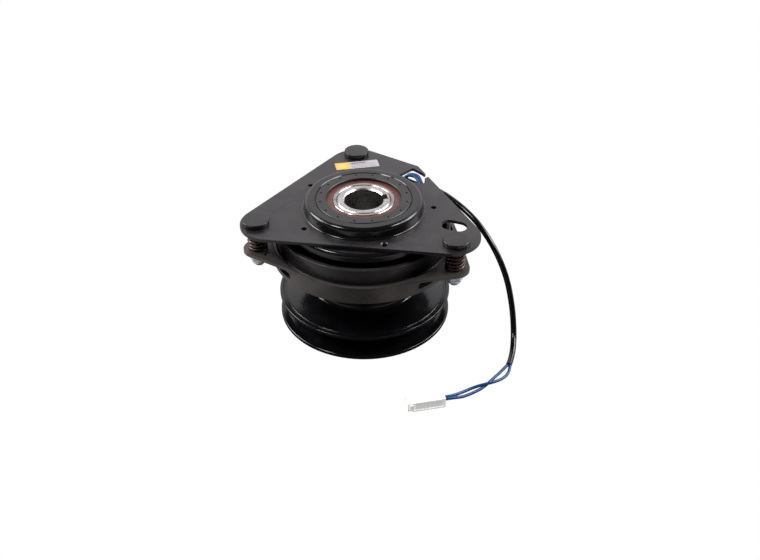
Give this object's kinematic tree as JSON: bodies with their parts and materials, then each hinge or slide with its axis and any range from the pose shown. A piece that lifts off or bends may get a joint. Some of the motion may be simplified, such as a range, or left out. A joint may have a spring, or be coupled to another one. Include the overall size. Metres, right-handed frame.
{
  "type": "electromagnetic clutch",
  "caption": "Electromagnetic clutch and brake on a keyed hub: triangular field plate, sprung brake plate, grooved belt pulley and a two-wire lead with connector.",
  "frame": {"origin": "centre of the shaft bore at the lower end of the hub, level with the pulley's bottom rim", "axes": "+Z along the shaft, from the pulley to the field plate; the single adjusting bolt beside the anti-rotation slot lies towards +X and -Y, and the label lies towards +Y"},
  "size_m": [0.2013, 0.2098, 0.0992],
  "materials": {
    "black_coated_steel": "semi-gloss black coating over stamped steel",
    "black_pulley": "gloss black coating over turned steel",
    "dark_bolt_steel": "black oxide",
    "machined_steel": "turned and ground",
    "bearing_steel": "ground",
    "bronzed_steel": "black coating with a bronze sheen",
    "spring_steel": "yellow-passivated spring wire",
    "leaf_spring_steel": "rolled spring strip",
    "zinc_steel": "bright zinc plating",
    "seal_rubber": "red-brown moulded rubber",
    "copper_winding": "enamelled copper wire",
    "bobbin_plastic": "moulded nylon",
    "potting_resin": "cast epoxy",
    "friction_lining": "moulded friction material",
    "label_film": "printed film, yellow block on off-white, no lettering",
    "lead_sleeving": "glossy black vinyl sleeve",
    "blue_insulation": "blue vinyl insulation",
    "connector_nylon": "translucent white nylon",
    "terminal_brass": "stamped brass"
  },
  "bodies": {
    "field": {"field_plate": "black_coated_steel", "field_shell": "black_coated_steel", "bearing_retainer_ring": "black_coated_steel", "coil_bobbin": "bobbin_plastic", "coil_winding": "copper_winding", "coil_potting": "potting_resin", "field_bearing_outer_race": "bearing_steel", "field_bearing_top_seal": "seal_rubber", "field_bearing_bottom_seal": "seal_rubber", "plate_label": "label_film", "adjusting_bolts": "dark_bolt_steel", "brake_spring_back": "spring_steel", "brake_spring_left": "spring_steel", "brake_spring_right": "spring_steel", "lead_wire_front": "blue_insulation", "lead_wire_rear": "blue_insulation", "lead_sleeve": "lead_sleeving", "connector_wire_a": "blue_insulation", "connector_wire_b": "blue_insulation", "connector_housing": "connector_nylon", "connector_terminals": "terminal_brass"},
    "hub": {"hub": "machined_steel", "rotor": "bronzed_steel", "rotor_lining": "friction_lining", "field_bearing_inner_race": "bearing_steel", "pulley_bearing_inner_race": "bearing_steel", "bearing_spacer": "machined_steel", "snap_ring": "leaf_spring_steel"},
    "field_ball_set": {"field_bearing_cage": "leaf_spring_steel", "field_bearing_balls": "bearing_steel"},
    "pulley": {"pulley": "black_pulley", "pulley_bearing_outer_race": "bearing_steel", "pulley_bearing_top_seal": "seal_rubber", "pulley_bearing_bottom_seal": "seal_rubber", "leaf_springs": "leaf_spring_steel", "pulley_rivets": "zinc_steel"},
    "pulley_ball_set": {"pulley_bearing_cage": "leaf_spring_steel", "pulley_bearing_balls": "bearing_steel"},
    "armature": {"armature_plate": "machined_steel", "armature_rivets": "zinc_steel"},
    "brake_plate": {"brake_plate": "bronzed_steel", "brake_lining": "friction_lining"},
    "nut_back": {"brake_nut_back": "zinc_steel"},
    "nut_left": {"brake_nut_left": "zinc_steel"},
    "nut_right": {"brake_nut_right": "zinc_steel"}
  },
  "joints": [
    {"name": "hub_spin", "type": "hinge", "parent": "field", "child": "hub", "pos_m": [0, 0, 0.0902], "axis": [0, 0, 1], "continuous": true},
    {"name": "field_ball_set_spin", "type": "hinge", "parent": "field", "child": "field_ball_set", "pos_m": [0, 0, 0.0902], "axis": [0, 0, 1], "continuous": true},
    {"name": "pulley_spin", "type": "hinge", "parent": "hub", "child": "pulley", "pos_m": [0, 0, 0.027], "axis": [0, 0, 1], "continuous": true},
    {"name": "pulley_ball_set_spin", "type": "hinge", "parent": "hub", "child": "pulley_ball_set", "pos_m": [0, 0, 0.027], "axis": [0, 0, 1], "continuous": true},
    {"name": "armature_pull", "type": "slide", "parent": "pulley", "child": "armature", "axis": [0, 0, 1], "range_m": [0, 0.00048], "stiffness_N_per_m": 12000, "springref_m": -0.0015, "deforming": ["leaf_springs"]},
    {"name": "brake_adjust", "type": "slide", "parent": "field", "child": "brake_plate", "axis": [0, 0, -1], "range_m": [0, 0.0015], "deforming": ["brake_spring_back", "brake_spring_left", "brake_spring_right"]},
    {"name": "nut_turn_back", "type": "hinge", "parent": "brake_plate", "child": "nut_back", "pos_m": [-0.00695, 0.0794, 0.0631], "axis": [0, 0, -1], "range_deg": [0, 432.1]},
    {"name": "nut_turn_left", "type": "hinge", "parent": "brake_plate", "child": "nut_left", "pos_m": [-0.07654, -0.02224, 0.0631], "axis": [0, 0, -1], "range_deg": [0, 432.1]},
    {"name": "nut_turn_right", "type": "hinge", "parent": "brake_plate", "child": "nut_right", "pos_m": [0.06448, -0.04685, 0.0631], "axis": [0, 0, -1], "range_deg": [0, 432.1]}
  ],
  "couplings": [
    {"joint": "field_ball_set_spin", "follows": "hub_spin", "ratio": 0.4265},
    {"joint": "pulley_ball_set_spin", "follows": "pulley_spin", "ratio": 0.5735},
    {"joint": "nut_turn_back", "follows": "brake_adjust", "rad_per_m": 5026.5},
    {"joint": "nut_turn_left", "follows": "brake_adjust", "rad_per_m": 5026.5},
    {"joint": "nut_turn_right", "follows": "brake_adjust", "rad_per_m": 5026.5}
  ]
}
